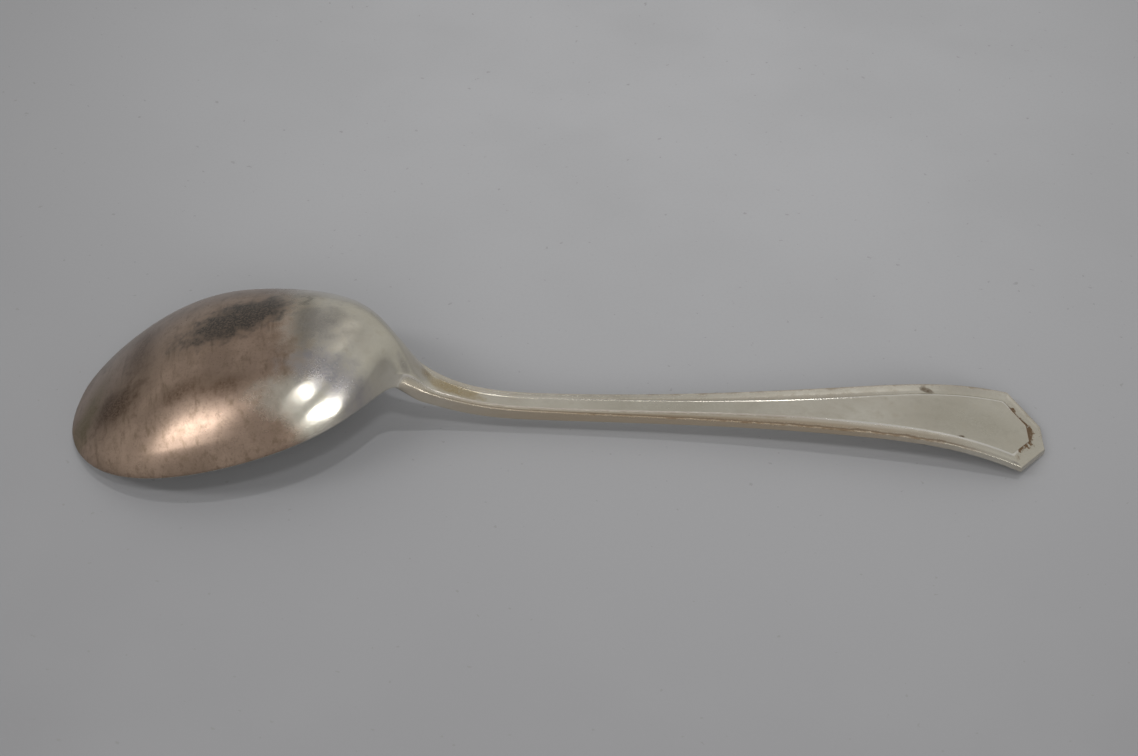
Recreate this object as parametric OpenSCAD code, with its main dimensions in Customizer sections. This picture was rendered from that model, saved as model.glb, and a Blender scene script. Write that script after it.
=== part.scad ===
// Plated soup spoon, lying face down on the tip of its bowl and the end of its handle.
// X runs from the bowl's tip to the handle's end, Z is up. Sizes are in millimetres.

/* [Overall] */
// Length from the tip of the bowl to the end of the handle
spoon_length = 180; // [172:1:192]

/* [Bowl] */
// Length of the bowl's outline from its tip to the neck
bowl_length = 60; // [57:0.5:62]
// Width of the bowl across its rim
bowl_width = 49.2; // [42:0.2:52]
// Distance from the tip to the widest place of the bowl
bowl_widest = 26.4; // [24:0.1:29]
// Height of the bowl's back above its rim
bowl_depth = 13.6; // [11:0.1:15]
// Distance from the tip to the deepest place of the bowl
bowl_deepest = 31.5; // [30:0.5:34]
// Thickness of the metal at the bottom of the bowl
bowl_wall = 1.2; // [0.9:0.1:1.8]
// Width of the flat rim
rim_width = 1.2; // [0.8:0.1:1.8]
// Fullness of the outline at the tip, 2 for an ellipse
tip_power = 2.15; // [2:0.05:2.5]
// Fullness of the outline at the heel, 2 for an ellipse
heel_power = 1.8; // [1.65:0.05:2]
// Fullness of the bowl's cross-section, 0.5 for an ellipse and 1 for a parabola
section_power = 0.8; // [0.66:0.02:0.9]

/* [Heel and neck] */
// How far the heel's back runs on past the bowl's outline
heel_run = 6; // [5:0.1:7]
// How far the hollow runs on past the bowl's outline
hollow_run = 2.5; // [1:0.1:3.5]
// Steepness of the heel
heel_steepness = 4.7; // [3.6:0.1:5.2]
// Softness of the hollow corner between heel and stem
heel_fillet = 2.6; // [2:0.1:4]
// Softness of the corner between the rim and the stem's edge
neck_fillet = 4.9; // [3:0.1:5.4]
// Extra half width of the stem where it leaves the bowl
neck_flare = 3.2; // [2.5:0.1:5]
// How fast the stem flares into the neck
neck_flare_power = 3; // [2.5:0.1:3.5]
// How far inside the bowl's outline the stem's flare stops growing
flare_lead = 3; // [2:0.1:4]
// How far inside the bowl's outline the rim starts to turn into the stem's side wall
wall_lead = 1.5; // [0.5:0.1:3]
// Thickness of the stem's edge at the neck
neck_thickness = 2.8; // [2:0.1:3.5]

/* [Stem and handle] */
// Width of the stem at its waist
waist_width = 4.6; // [4:0.1:6.5]
// Distance from the bowl's outline to the waist
waist_run = 20; // [17:0.5:23]
// Width of the handle at its two end corners
end_width = 20.7; // [17:0.1:24]
// Length of the slanting corner cuts at the end
end_cut = 5.5; // [4.5:0.1:7]
// Width of the blunt tip between the corner cuts
tip_width = 6.2; // [5:0.1:8]
// Thickness of the edge at the end of the handle
end_thickness = 1.3; // [1.1:0.1:1.8]
// How the width grows along the handle, 1 for straight sides
flare_power = 1.9; // [1.4:0.05:2.2]
// How the thickness tapers along the handle, 1 for an even taper
taper_power = 2.4; // [1.5:0.1:3]

/* [Border] */
// Width of the channelled border where it leaves the neck
border_at_neck = 0.5; // [0.3:0.1:0.8]
// Width of the border along the waist
border_at_waist = 1.4; // [1:0.05:1.6]
// Width of the border round the end
border_at_end = 2.9; // [2.4:0.1:3.2]
// Depth of the border's channel below the outer edge
channel_depth = 0.4; // [0.2:0.02:0.45]
// Depth of the ridge between the channel and the panel, below the outer edge
ridge_depth = 0.08; // [0.02:0.02:0.14]
// Depth of the flat panel below the outer edge
panel_depth = 0.22; // [0.16:0.02:0.3]
// Width of the ridge's fall to the panel
panel_step = 0.3; // [0.2:0.05:0.4]
// Share of the back's relief that the front shows
front_relief = 0.4; // [0.2:0.05:0.6]

/* [Side profile] */
// Height of the rim at the bowl's widest place
rim_height = 7.8; // [6:0.1:8.5]
// Height of the rim at the heel
heel_height = 12.6; // [11:0.1:13.2]
// Distance from the heel's rim height to the end of the bowl's outline
heel_back = 9.5; // [8:0.5:11]
// Height of the edge at the neck
neck_height = 13.2; // [12:0.1:14.5]
// Height of the stem's shoulder
shoulder_height = 9.2; // [8:0.1:10]
// Distance from the neck to the shoulder
shoulder_run = 9; // [8:0.5:10]
// Height of the stem where it is lowest
dip_height = 6.1; // [5:0.1:7]
// Distance from the neck to the lowest place of the stem
dip_run = 28; // [25:0.5:31]
// Height of the handle's hump
hump_height = 7.1; // [6:0.1:8.5]
// Distance from the hump to the end of the handle
hump_back = 35; // [32:0.5:38]
// Height of the handle where it bends down to its end
bend_height = 5.3; // [4.5:0.1:6]
// Distance from that bend to the end of the handle
bend_back = 12; // [10:0.5:14]

/* [Plating] */
// Thickness of the silver skin
plate_thickness = 0.04; // [0.03:0.01:0.08]
// Where the worn patch on the bowl's back starts, from the tip
wear_start = 2; // [1.5:0.1:4]
// Where the worn patch ends, from the tip
wear_end = 37; // [34:0.5:44]
// How far the middle of the patch's end bows towards the heel
wear_bow = 5; // [0:0.5:8]

/* [Hidden] */

blank_colour = [0.50, 0.40, 0.34];
plate_colour = [0.74, 0.73, 0.68];

// Columns on each half of the back and of the front, counted from the middle to the edge
back_columns = 11;
front_columns = 6;
// The last four columns of each half are the border's ridge, the channel's two corners and the outer edge
border_columns = 4;
// The worn patch spans the columns of the panel
wear_column = back_columns - border_columns;

// Steps between stations along the spoon
tip_steps = 3;
bowl_steps = 12;
worn_heel_steps = 6;
plated_heel_steps = 5;
neck_steps = 10;
stem_steps = 6;
handle_steps = 13;

// How far inside the bowl's outline the stations lie closer together
neck_lead = 4;
// Share by which each column inside the border closes up at the end
crowding = 0.1;
// Distance over which the outline's slope is taken
slope_probe = 0.1;

waist_place = bowl_length + waist_run;
corner_place = spoon_length - end_cut;
heel_end = bowl_length + heel_run;
hollow_end = bowl_length + hollow_run;
// Stations lie closer together from here to the heel's end
neck_start = bowl_length - neck_lead;
// The rim turns into the stem's side wall from here to the heel's end
wall_start = bowl_length - wall_lead;
// The stem's flare grows no further inside the bowl
flare_start = bowl_length - flare_lead;
cut_slope = (end_width - tip_width) / 2 / end_cut;
cut_lean = sqrt(1 + cut_slope ^ 2);
// Distance of the channel's corners from the outer edge, as shares of the border's width
inner_corner_share = 0.66;
outer_corner_share = 0.3;
// Where the panel's inner corner lies, mitred between side and corner cut
miter_place = corner_place - border_at_end * (cut_lean - 1) / cut_slope;

// Shared curves
function ease(from, to, x) =
    let (t = min(1, max(0, (x - from) / (to - from))))
    t * t * (3 - 2 * t);

// The larger of two values, with the corner between them rounded
function soft_max(a, b, softness) =
    let (h = min(1, max(0, 0.5 + 0.5 * (a - b) / softness)))
    b * (1 - h) + a * h + softness * h * (1 - h);

// Natural cubic spline through points [x, y]: forward sweep, then the bend at each point
function sweep(p, i = 1, last = [0, 0]) =
    i >= len(p) - 1 ? [] :
    let (
        h0 = p[i].x - p[i - 1].x,
        h1 = p[i + 1].x - p[i].x,
        turn = 6 * ((p[i + 1].y - p[i].y) / h1 - (p[i].y - p[i - 1].y) / h0),
        q = 2 * (h0 + h1) - h0 * last[0],
        now = [h1 / q, (turn - h0 * last[1]) / q]
    )
    concat([now], sweep(p, i + 1, now));

function bend_at(rows, i) = i >= len(rows) ? 0 : rows[i][1] - rows[i][0] * bend_at(rows, i + 1);

function bends(p) =
    let (rows = sweep(p))
    concat([0], [for (i = [0 : len(rows) - 1]) bend_at(rows, i)], [0]);

function span_of(p, x, i = 0) = i >= len(p) - 2 || x <= p[i + 1].x ? i : span_of(p, x, i + 1);

function spline(p, m, x) =
    let (
        i = span_of(p, x),
        h = p[i + 1].x - p[i].x,
        a = (p[i + 1].x - x) / h,
        b = (x - p[i].x) / h
    )
    a * p[i].y + b * p[i + 1].y
        + ((a ^ 3 - a) * m[i] + (b ^ 3 - b) * m[i + 1]) * h * h / 6;

// Height of the rim and of the stem's back edge along the spoon
profile = [
    [0, 0],
    [bowl_widest, rim_height],
    [bowl_length - heel_back, heel_height],
    [bowl_length, neck_height],
    [bowl_length + shoulder_run, shoulder_height],
    [bowl_length + dip_run, dip_height],
    [spoon_length - hump_back, hump_height],
    [spoon_length - bend_back, bend_height],
    [spoon_length, end_thickness]
];
profile_bends = bends(profile);

function edge_height(x) = spline(profile, profile_bends, x);

function edge_thickness(x) =
    let (t = min(1, max(0, (spoon_length - x) / (spoon_length - bowl_length))))
    end_thickness + (neck_thickness - end_thickness) * t ^ taper_power;

// 0 in the bowl, where the edge is a rim, and 1 in the stem, where it is a side wall
function wall_share(x) = ease(wall_start, heel_end, x);

// Plan outline
function bowl_half(x, inset) =
    let (
        to_tip = x < bowl_widest,
        r = to_tip ? (bowl_widest - x) / (bowl_widest - inset)
                   : (x - bowl_widest) / (bowl_length - bowl_widest)
    )
    (bowl_width / 2 - inset) * sqrt(max(0, 1 - r ^ (to_tip ? tip_power : heel_power)));

function stem_half(x) =
    waist_width / 2
        + neck_flare * max(0, (waist_place - max(x, flare_start)) / waist_run) ^ neck_flare_power
        + (end_width - waist_width) / 2
            * max(0, (x - waist_place) / (corner_place - waist_place)) ^ flare_power;

function side_half(x) =
    x < bowl_widest ? bowl_half(x, 0) : soft_max(bowl_half(x, 0), stem_half(x), neck_fillet);

function cut_half(x) = tip_width / 2 + (spoon_length - x) * cut_slope;

// Half width of the outline moved in by inset
function outline_half(x, inset) =
    min(side_half(x) - inset, cut_half(x) - inset * cut_lean);

function border_width(x) =
    border_at_neck
        + (border_at_waist - border_at_neck) * ease(bowl_length, waist_place, x)
        + (border_at_end - border_at_waist) * ease(bowl_length + dip_run, spoon_length - hump_back, x);

// Distance of a border feature from the outer edge: 0 panel, 1 ridge, 2 and 3 channel, 4 outer edge
function feature_inset(x, feature) =
    let (width = border_width(x))
    [width + panel_step, width, inner_corner_share * width, outer_corner_share * width, 0][feature];

// The channel grows shallow where the border narrows towards the neck
function channel(x) = channel_depth * min(1, border_width(x) / border_at_waist);

// Depth of the relief at a distance from the outer edge
function relief(x, distance) =
    lookup(distance, [
        [0, 0],
        [feature_inset(x, 3), channel(x)],
        [feature_inset(x, 2), channel(x)],
        [feature_inset(x, 1), ridge_depth],
        [feature_inset(x, 0), panel_depth]
    ]);

// Columns close up before the tip, where the border runs across the end
function feature_half(x, feature) =
    let (
        inset = feature_inset(x, feature),
        to_end = spoon_length - x,
        crowd = inset > to_end ? 1 - crowding * (border_columns - feature) : 1
    )
    crowd * outline_half(x, min(inset, to_end));

// Height of the dome above the rim, from its tip to its heel
function dome(x, depth, tip, heel) =
    x < bowl_deepest
        ? depth * (1 - ((bowl_deepest - x) / (bowl_deepest - tip)) ^ 2)
        : let (fall = ((x - bowl_deepest) / (heel - bowl_deepest)) ^ heel_steepness)
          soft_max(depth * (1 - fall), 0, heel_fillet);

function crown(x) = dome(x, bowl_depth, 0, heel_end);

function hollow(x) = dome(x, bowl_depth - bowl_wall, rim_width, hollow_end) * (1 - wall_share(x));

function arch(u) = max(0, 1 - u * u) ^ section_power;

// Half width of the front: the hollow's rim in the bowl, the full outline in the stem
function front_edge_half(x) =
    x < bowl_widest
        ? bowl_half(x, rim_width)
        : let (slope = (side_half(x + slope_probe) - side_half(x - slope_probe)) / 2 / slope_probe)
          outline_half(x, 0) - rim_width * (1 - wall_share(x)) * sqrt(1 + slope ^ 2);

// Place of column j out of n across a half width: even in angle on the bowl,
// and on the border's features in the stem
function column_half(x, j, n, bowl_edge) =
    let (
        panel = n - border_columns,
        feature = max(0, abs(j) - panel),
        across = sign(j) * min(1, abs(j) / panel)
    )
    (1 - wall_share(x)) * bowl_edge * sin(90 * j / n) + wall_share(x) * across * feature_half(x, feature);

function column_relief(x, j, n) =
    let (feature = max(0, abs(j) - (n - border_columns)))
    wall_share(x) * relief(x, min(feature_inset(x, feature), spoon_length - x));

// The wear's end bows towards the heel in the middle of the bowl
function bowed(x, j) =
    x + wear_bow * ease(bowl_widest / 2, wear_end, x) * (1 - ease(wear_end, neck_start, x))
        * (1 - (j / back_columns) ^ 2);

function back_point(station, j) =
    let (
        x = bowed(station, j),
        half = outline_half(x, 0),
        y = column_half(x, j, back_columns, half)
    )
    [x, y, edge_height(x) + crown(x) * arch(y / half) - column_relief(x, j, back_columns)];

// The front starts behind the rim at the tip and catches up at the widest place
function front_station(station) = station + rim_width * max(0, 1 - station / bowl_widest) ^ 2;

function front_point(station, j) =
    let (
        x = front_station(station),
        half = front_edge_half(x),
        y = column_half(x, j, front_columns, half),
        low = edge_height(x) - edge_thickness(x) * wall_share(x)
    )
    [x, y, low + hollow(x) * arch(y / half) + front_relief * column_relief(x, j, front_columns)];

// Stations from the tip to the end of the handle
wear_angle = acos(1 - wear_start / bowl_widest);
stations = concat(
    [for (i = [1 : tip_steps]) bowl_widest * (1 - cos(wear_angle * i / tip_steps))],
    [for (i = [1 : bowl_steps]) bowl_widest * (1 - cos(wear_angle + (90 - wear_angle) * i / bowl_steps))],
    [for (i = [1 : worn_heel_steps]) bowl_widest + (wear_end - bowl_widest) * i / worn_heel_steps],
    [for (i = [1 : plated_heel_steps]) wear_end + (neck_start - wear_end) * i / plated_heel_steps],
    [for (i = [1 : neck_steps]) neck_start + (heel_end - neck_start) * i / neck_steps],
    [for (i = [1 : stem_steps]) heel_end + (waist_place - heel_end) * i / stem_steps],
    [for (i = [1 : handle_steps]) waist_place + (miter_place - waist_place) * i / handle_steps],
    [corner_place],
    [for (feature = [0 : border_columns]) spoon_length - feature_inset(spoon_length, feature)]
);
wear_first = tip_steps - 1;
wear_last = tip_steps + bowl_steps + worn_heel_steps - 1;

// Rings of points round the metal, back then front
back_count = 2 * back_columns + 1;
ring_count = back_count + 2 * front_columns + 1;
last_ring = len(stations) - 1;
rings = [for (s = stations) concat(
    [for (j = [-back_columns : back_columns]) back_point(s, -j)],
    [for (j = [-front_columns : front_columns]) front_point(s, j)]
)];
back_tip = [0, 0, edge_height(0)];
front_tip = [rim_width, 0, edge_height(rim_width)];
end_centre = [spoon_length, 0, end_thickness / 2];

// Outward direction at a point of a ring
function outward(i, m) =
    let (
        before = i > 0 ? rings[i - 1][m] : m < back_count ? back_tip : front_tip,
        after = rings[min(i + 1, last_ring)][m],
        left = rings[i][(m + ring_count - 1) % ring_count],
        right = rings[i][(m + 1) % ring_count],
        n = cross(right - left, after - before)
    )
    n / norm(n);

// All points of the surface moved into the metal by depth: two tips, the rings, the end's centre
function surface_points(depth) =
    let (placed = concat(
        [back_tip + depth * [1, 0, 1], front_tip + depth * [-1, 0, 1]],
        [for (i = [0 : last_ring]) for (m = [0 : ring_count - 1])
            rings[i][m] - depth * (outward(i, m) + (i == last_ring ? [1, 0, 0] : [0, 0, 0]))],
        [end_centre - depth * [1, 0, 0]]
    ))
    [for (p = placed) p - [spoon_length / 2, 0, 0]];

point_count = 3 + len(stations) * ring_count;

// Number of a point: ring -1 is the tip
function point_at(i, m) =
    i < 0 ? (m % ring_count < back_count ? 0 : 1) : 2 + i * ring_count + m % ring_count;

function is_worn(i, m) =
    i >= wear_first && i < wear_last && abs(m + 0.5 - back_columns) < wear_column;

function cell(i, m) =
    let (a = point_at(i, m), b = point_at(i, m + 1), c = point_at(i + 1, m + 1), d = point_at(i + 1, m))
    a == b ? [[a, d, c]] : [[a, c, b], [a, d, c]];

function surface_faces(with_wear) = concat(
    [for (m = [0 : ring_count - 1]) [point_count - 1, point_at(last_ring, m + 1), point_at(last_ring, m)]],
    [for (i = [-1 : last_ring - 1]) for (m = [0 : ring_count - 1])
        if (!with_wear || !is_worn(i, m)) each cell(i, m)]
);

// Two triangles from the edge a to b down to the same edge on the skin's inner side
function wall(a, b) = [[a, b + point_count, b], [a, a + point_count, b + point_count]];

// The skin's edge round the worn patch
wear_left = back_columns - wear_column;
wear_right = back_columns + wear_column;
wear_walls = concat(
    [for (m = [wear_left : wear_right - 1]) each wall(point_at(wear_first, m), point_at(wear_first, m + 1))],
    [for (m = [wear_left : wear_right - 1]) each wall(point_at(wear_last, m + 1), point_at(wear_last, m))],
    [for (i = [wear_first : wear_last - 1]) each wall(point_at(i + 1, wear_left), point_at(i, wear_left))],
    [for (i = [wear_first : wear_last - 1]) each wall(point_at(i, wear_right), point_at(i + 1, wear_right))]
);

function turned(faces) = [for (f = faces) [f[2], f[1], f[0]]];

function inner_side(faces) = [for (f = faces) [for (v = f) v + point_count]];

// The struck blank: bowl, stem and handle in one piece
module base_metal_blank() {
    color(blank_colour)
        polyhedron(points = surface_points(plate_thickness), faces = surface_faces(false));
}

// The silver skin over the blank, open where it has worn through
module silver_plate() {
    color(plate_colour)
        polyhedron(
            points = concat(surface_points(0), surface_points(plate_thickness)),
            faces = concat(surface_faces(true), turned(inner_side(surface_faces(true))), wear_walls)
        );
}

base_metal_blank();
silver_plate();
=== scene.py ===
"""Worn silver-plated soup spoon, lying face down on a pale grey top.

Sizes are in millimetres and places along the spoon run from the bowl's tip. Near is the camera's side.
"""
import math

import bpy
import numpy as np
from mathutils import Matrix, Vector


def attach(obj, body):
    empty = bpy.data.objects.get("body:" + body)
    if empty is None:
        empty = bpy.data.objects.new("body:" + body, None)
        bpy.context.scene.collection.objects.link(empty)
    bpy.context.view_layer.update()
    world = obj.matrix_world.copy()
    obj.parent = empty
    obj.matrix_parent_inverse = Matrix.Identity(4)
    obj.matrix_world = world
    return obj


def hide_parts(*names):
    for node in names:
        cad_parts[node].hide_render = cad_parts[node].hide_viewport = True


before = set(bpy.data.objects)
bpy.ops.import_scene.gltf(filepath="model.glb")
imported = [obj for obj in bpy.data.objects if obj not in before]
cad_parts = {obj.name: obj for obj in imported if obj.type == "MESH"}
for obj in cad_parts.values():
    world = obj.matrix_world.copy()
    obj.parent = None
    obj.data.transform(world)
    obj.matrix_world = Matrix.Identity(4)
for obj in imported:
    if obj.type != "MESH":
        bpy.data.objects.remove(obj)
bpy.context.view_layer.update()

MM = 0.001

# Overall
SPOON_LENGTH = 180.0
FRAME_ORIGIN = SPOON_LENGTH / 2

# Bowl
BOWL_LENGTH = 60.0
BOWL_WIDTH = 49.2
BOWL_WIDEST = 26.4
BOWL_DEPTH = 13.6
BOWL_DEEPEST = 31.5
BOWL_WALL = 1.2
RIM_WIDTH = 1.2
RIM_RADIUS = 0.35
TIP_POWER = 2.15
HEEL_POWER = 1.8
SECTION_POWER = 0.8

# Heel and neck
HEEL_END = BOWL_LENGTH + 6.0
HOLLOW_END = BOWL_LENGTH + 2.5
HEEL_STEEPNESS = 4.7
HEEL_FILLET = 2.6
NECK_FILLET = 4.9
NECK_FLARE = 3.2
NECK_FLARE_POWER = 3.0
FLARE_START = BOWL_LENGTH - 3.0
WALL_START = BOWL_LENGTH - 1.5
NECK_THICKNESS = 2.8

# Stem and handle
WAIST_WIDTH = 4.6
WAIST_RUN = 20.0
WAIST_PLACE = BOWL_LENGTH + WAIST_RUN
END_WIDTH = 20.7
END_CUT = 5.5
CORNER_PLACE = SPOON_LENGTH - END_CUT
TIP_WIDTH = 6.2
END_THICKNESS = 1.3
FLARE_POWER = 1.9
TAPER_POWER = 2.4
CUT_SLOPE = (END_WIDTH - TIP_WIDTH) / 2 / END_CUT
CUT_LEAN = math.hypot(1, CUT_SLOPE)
CORNER_SOFTNESS = 0.3

# Border
BORDER_AT_NECK = 0.5
BORDER_AT_WAIST = 1.4
BORDER_AT_END = 2.9
BORDER_START = BOWL_LENGTH - 5.0
BORDER_FORMED = BOWL_LENGTH + 4.0
# Where the colours of the border start
LINES_START = BOWL_LENGTH - 1.0
LINES_FORMED = BOWL_LENGTH + 2.5
CHANNEL_DEPTH = 0.4
RIDGE_DEPTH = 0.08
CHANNEL_SKEW = 1.35
PANEL_DEPTH = 0.22
PANEL_STEP = 0.2
FRONT_RELIEF = 0.4
ARRIS_RADIUS = 0.2
END_CROWDING = 0.3
# Border share that the materials read as a place away from the border
NO_BORDER = 4.0

# Height of the rim and of the stem's back edge, as places along the spoon and heights
DIP_PLACE = BOWL_LENGTH + 28.0
HUMP_PLACE = SPOON_LENGTH - 35.0
PROFILE = [
    (0.0, 0.0),
    (BOWL_WIDEST, 7.8),
    (BOWL_LENGTH - 9.5, 12.6),
    (BOWL_LENGTH, 13.2),
    (BOWL_LENGTH + 9.0, 9.2),
    (DIP_PLACE, 6.1),
    (HUMP_PLACE, 7.1),
    (SPOON_LENGTH - 12.0, 5.3),
    (SPOON_LENGTH, END_THICKNESS),
]

# Plating
PLATE = 0.04
FEATHERED_EDGE = 0.004
FEATHER_RUN = 2.5
WEAR_START = 2.0
WEAR_END = 37.0
WEAR_BOW = 5.0
WEAR_BOW_END = BOWL_LENGTH - 4.0

# Columns of the mesh on each half of the back and the front, from the middle to the edge
BACK_COLUMNS = dict(panel=18, step=6, channel=18, arris=6)
FRONT_COLUMNS = dict(panel=10, step=3, channel=8, arris=0)
# Share of the quarter turn across the bowl that the panel's columns take, which is also the width of
# the worn patch
PANEL_TURN = 7 / 11

# Points from the back round to the front, as many in the bowl as in the stem: round both sides of a rim
# with one in its middle, or down a side wall and round its lower edge
RIM_ANGLES = np.radians([30, 60, 90])
WALL_SHARES = np.array([0.25, 0.5, 0.75, 1.0])
WALL_ANGLES = np.radians([25, 50, 72])
EDGE_POINTS = len(WALL_SHARES) + len(WALL_ANGLES)
# Points before the first ring: the back's tip, those round the rim there, and the front's tip
TIP_POINTS = EDGE_POINTS + 2

# Rings of the mesh: from the tip to the worn patch, on to the bowl's widest place, then even runs from
# place to place with their counts, closer round the neck and towards the handle's end
FIRST_RING_TURN = 0.01
TIP_RINGS = 18
BOWL_RINGS = 48
NECK_END = BOWL_LENGTH + 12.0
CLOSER_FROM = SPOON_LENGTH - 12.0
CLOSEST_FROM = SPOON_LENGTH - 7.0
EVEN_RINGS = [
    (BOWL_WIDEST, WEAR_END, 22),
    (WEAR_END, WEAR_BOW_END, 34),
    (WEAR_BOW_END, NECK_END, 64),
    (NECK_END, CLOSER_FROM, 97),
    (CLOSER_FROM, CLOSEST_FROM, 12),
    (CLOSEST_FROM, SPOON_LENGTH - ARRIS_RADIUS, 58),
]
ARRIS_RINGS = 7
# Half the length over which the outline's slope is taken
PROBE = 0.1
# Keeps a divisor away from zero, and a comparison clear of rounding
TINY = 1e-6


def ease(start, end, x):
    t = np.clip((x - start) / (end - start), 0, 1)
    return t * t * (3 - 2 * t)


def soft_max(a, b, softness):
    h = np.clip(0.5 + 0.5 * (a - b) / softness, 0, 1)
    return b * (1 - h) + a * h + softness * h * (1 - h)


def soft_min(a, b, softness):
    return -soft_max(-a, -b, softness)


def natural_spline(points):
    """Natural cubic spline through points, as a function of the first coordinate."""
    px, py = np.array(points).T
    count = len(px)
    gap = np.diff(px)
    slope = np.diff(py) / gap
    rows = np.eye(count)
    turn = np.zeros(count)
    for i in range(1, count - 1):
        rows[i, i - 1:i + 2] = gap[i - 1], 2 * (gap[i - 1] + gap[i]), gap[i]
        turn[i] = 6 * (slope[i] - slope[i - 1])
    bend = np.linalg.solve(rows, turn)

    def value(x):
        i = np.clip(np.searchsorted(px, x) - 1, 0, count - 2)
        a = (px[i + 1] - x) / gap[i]
        b = (x - px[i]) / gap[i]
        bow = (a ** 3 - a) * bend[i] + (b ** 3 - b) * bend[i + 1]
        return a * py[i] + b * py[i + 1] + bow * gap[i] ** 2 / 6

    return value


edge_height = natural_spline(PROFILE)


def edge_thickness(x):
    t = np.clip((SPOON_LENGTH - x) / (SPOON_LENGTH - BOWL_LENGTH), 0, 1)
    return END_THICKNESS + (NECK_THICKNESS - END_THICKNESS) * t ** TAPER_POWER


def wall_share(x):
    """0 in the bowl, where the edge is a rim, and 1 in the stem, where it is a side wall."""
    return ease(WALL_START, HEEL_END, x)


def bowl_half(x, inset=0.0):
    tip = x < BOWL_WIDEST
    reach = np.where(tip, BOWL_WIDEST - inset, BOWL_LENGTH - BOWL_WIDEST)
    power = np.where(tip, TIP_POWER, HEEL_POWER)
    r = np.abs(x - BOWL_WIDEST) / reach
    return (BOWL_WIDTH / 2 - inset) * np.sqrt(np.clip(1 - r ** power, 0, None))


def stem_half(x):
    flare = np.clip((WAIST_PLACE - np.maximum(x, FLARE_START)) / WAIST_RUN, 0, None)
    widening = np.clip((x - WAIST_PLACE) / (CORNER_PLACE - WAIST_PLACE), 0, None)
    return (WAIST_WIDTH / 2 + NECK_FLARE * flare ** NECK_FLARE_POWER
            + (END_WIDTH - WAIST_WIDTH) / 2 * widening ** FLARE_POWER)


def plain_side_half(x):
    return np.where(x < BOWL_WIDEST, bowl_half(x), soft_max(bowl_half(x), stem_half(x), NECK_FILLET))


def dome(x, depth, tip, heel):
    """Height of the bowl's dome above its rim."""
    rise = depth * (1 - ((BOWL_DEEPEST - x) / (BOWL_DEEPEST - tip)) ** 2)
    fall = np.clip((x - BOWL_DEEPEST) / (heel - BOWL_DEEPEST), 0, None) ** HEEL_STEEPNESS
    return np.where(x < BOWL_DEEPEST, rise, soft_max(depth * (1 - fall), 0 * x, HEEL_FILLET))


# Outline and dome are smoothed along the spoon away from its ends, so that reflections flow over the neck
FINE_STEP = 0.05
SMOOTHING = 1.0
SMOOTHING_REACH = 4 * SMOOTHING
SMOOTHING_STARTS = (8.0, 14.0)
SMOOTHING_ENDS = (SPOON_LENGTH - 25.0, SPOON_LENGTH - 15.0)
fine_places = np.arange(0, SPOON_LENGTH + FINE_STEP, FINE_STEP)


def smoothed(values):
    reach = int(SMOOTHING_REACH / FINE_STEP)
    weights = np.exp(-0.5 * (np.arange(-reach, reach + 1) * FINE_STEP / SMOOTHING) ** 2)
    soft = np.convolve(np.pad(values, reach, mode="edge"), weights / weights.sum(), mode="valid")
    share = ease(*SMOOTHING_STARTS, fine_places) * (1 - ease(*SMOOTHING_ENDS, fine_places))
    return values * (1 - share) + soft * share


fine_side = smoothed(plain_side_half(fine_places))
fine_crown = smoothed(dome(fine_places, BOWL_DEPTH, 0, HEEL_END))


def side_half(x):
    return np.where(x < BOWL_WIDEST / 2, bowl_half(x), np.interp(x, fine_places, fine_side))


def crown(x):
    plain = dome(x, BOWL_DEPTH, 0, HEEL_END)
    return np.where(x < BOWL_WIDEST / 2, plain, np.interp(x, fine_places, fine_crown))


def hollow(x):
    depth = dome(x, BOWL_DEPTH - BOWL_WALL, RIM_WIDTH, HOLLOW_END)
    return np.clip(depth, 0, None) * (1 - wall_share(x))


def arch(u):
    return np.clip(1 - u * u, 0, None) ** SECTION_POWER


def outline_half(x, inset):
    """Half width of the outline moved in by inset, with the corner cuts at the end."""
    cut = TIP_WIDTH / 2 + (SPOON_LENGTH - x) * CUT_SLOPE
    return soft_min(side_half(x) - inset, cut - inset * CUT_LEAN, CORNER_SOFTNESS)


def border_width(x):
    return (BORDER_AT_NECK
            + (BORDER_AT_WAIST - BORDER_AT_NECK) * ease(BORDER_START, BORDER_FORMED, x)
            + (BORDER_AT_END - BORDER_AT_WAIST) * ease(DIP_PLACE, HUMP_PLACE, x))


def relief(x, distance):
    """Depth of the border's channel, its inner ridge and the panel at a distance from the outer edge."""
    border = border_width(x)
    t = np.clip((distance - ARRIS_RADIUS) / (border - ARRIS_RADIUS), 0, 1)
    sag = CHANNEL_DEPTH * np.minimum(1, border / BORDER_AT_WAIST) - RIDGE_DEPTH / 2
    step = ease(border, border + PANEL_STEP, distance)
    skewed = t ** CHANNEL_SKEW
    return RIDGE_DEPTH * t + 4 * sag * skewed * (1 - skewed) + (PANEL_DEPTH - RIDGE_DEPTH) * step


def arris_fall(distance):
    """How far the surface has fallen where it rounds over the arris."""
    inside = np.clip(ARRIS_RADIUS - distance, 0, ARRIS_RADIUS)
    return ARRIS_RADIUS - np.sqrt(ARRIS_RADIUS ** 2 - inside ** 2)


def placed_half(x, inset, panel_inset):
    """Half width of a column at an inset. Inner columns close up before the end, where the border runs
    across the spoon."""
    to_end = SPOON_LENGTH - x
    half = outline_half(x, np.minimum(inset, to_end))
    beyond = np.clip((inset - to_end) / np.maximum(panel_inset - to_end, TINY), 0, 1)
    return half * (1 - END_CROWDING * beyond * (1 - np.clip(to_end / panel_inset, 0, 1)))


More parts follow.
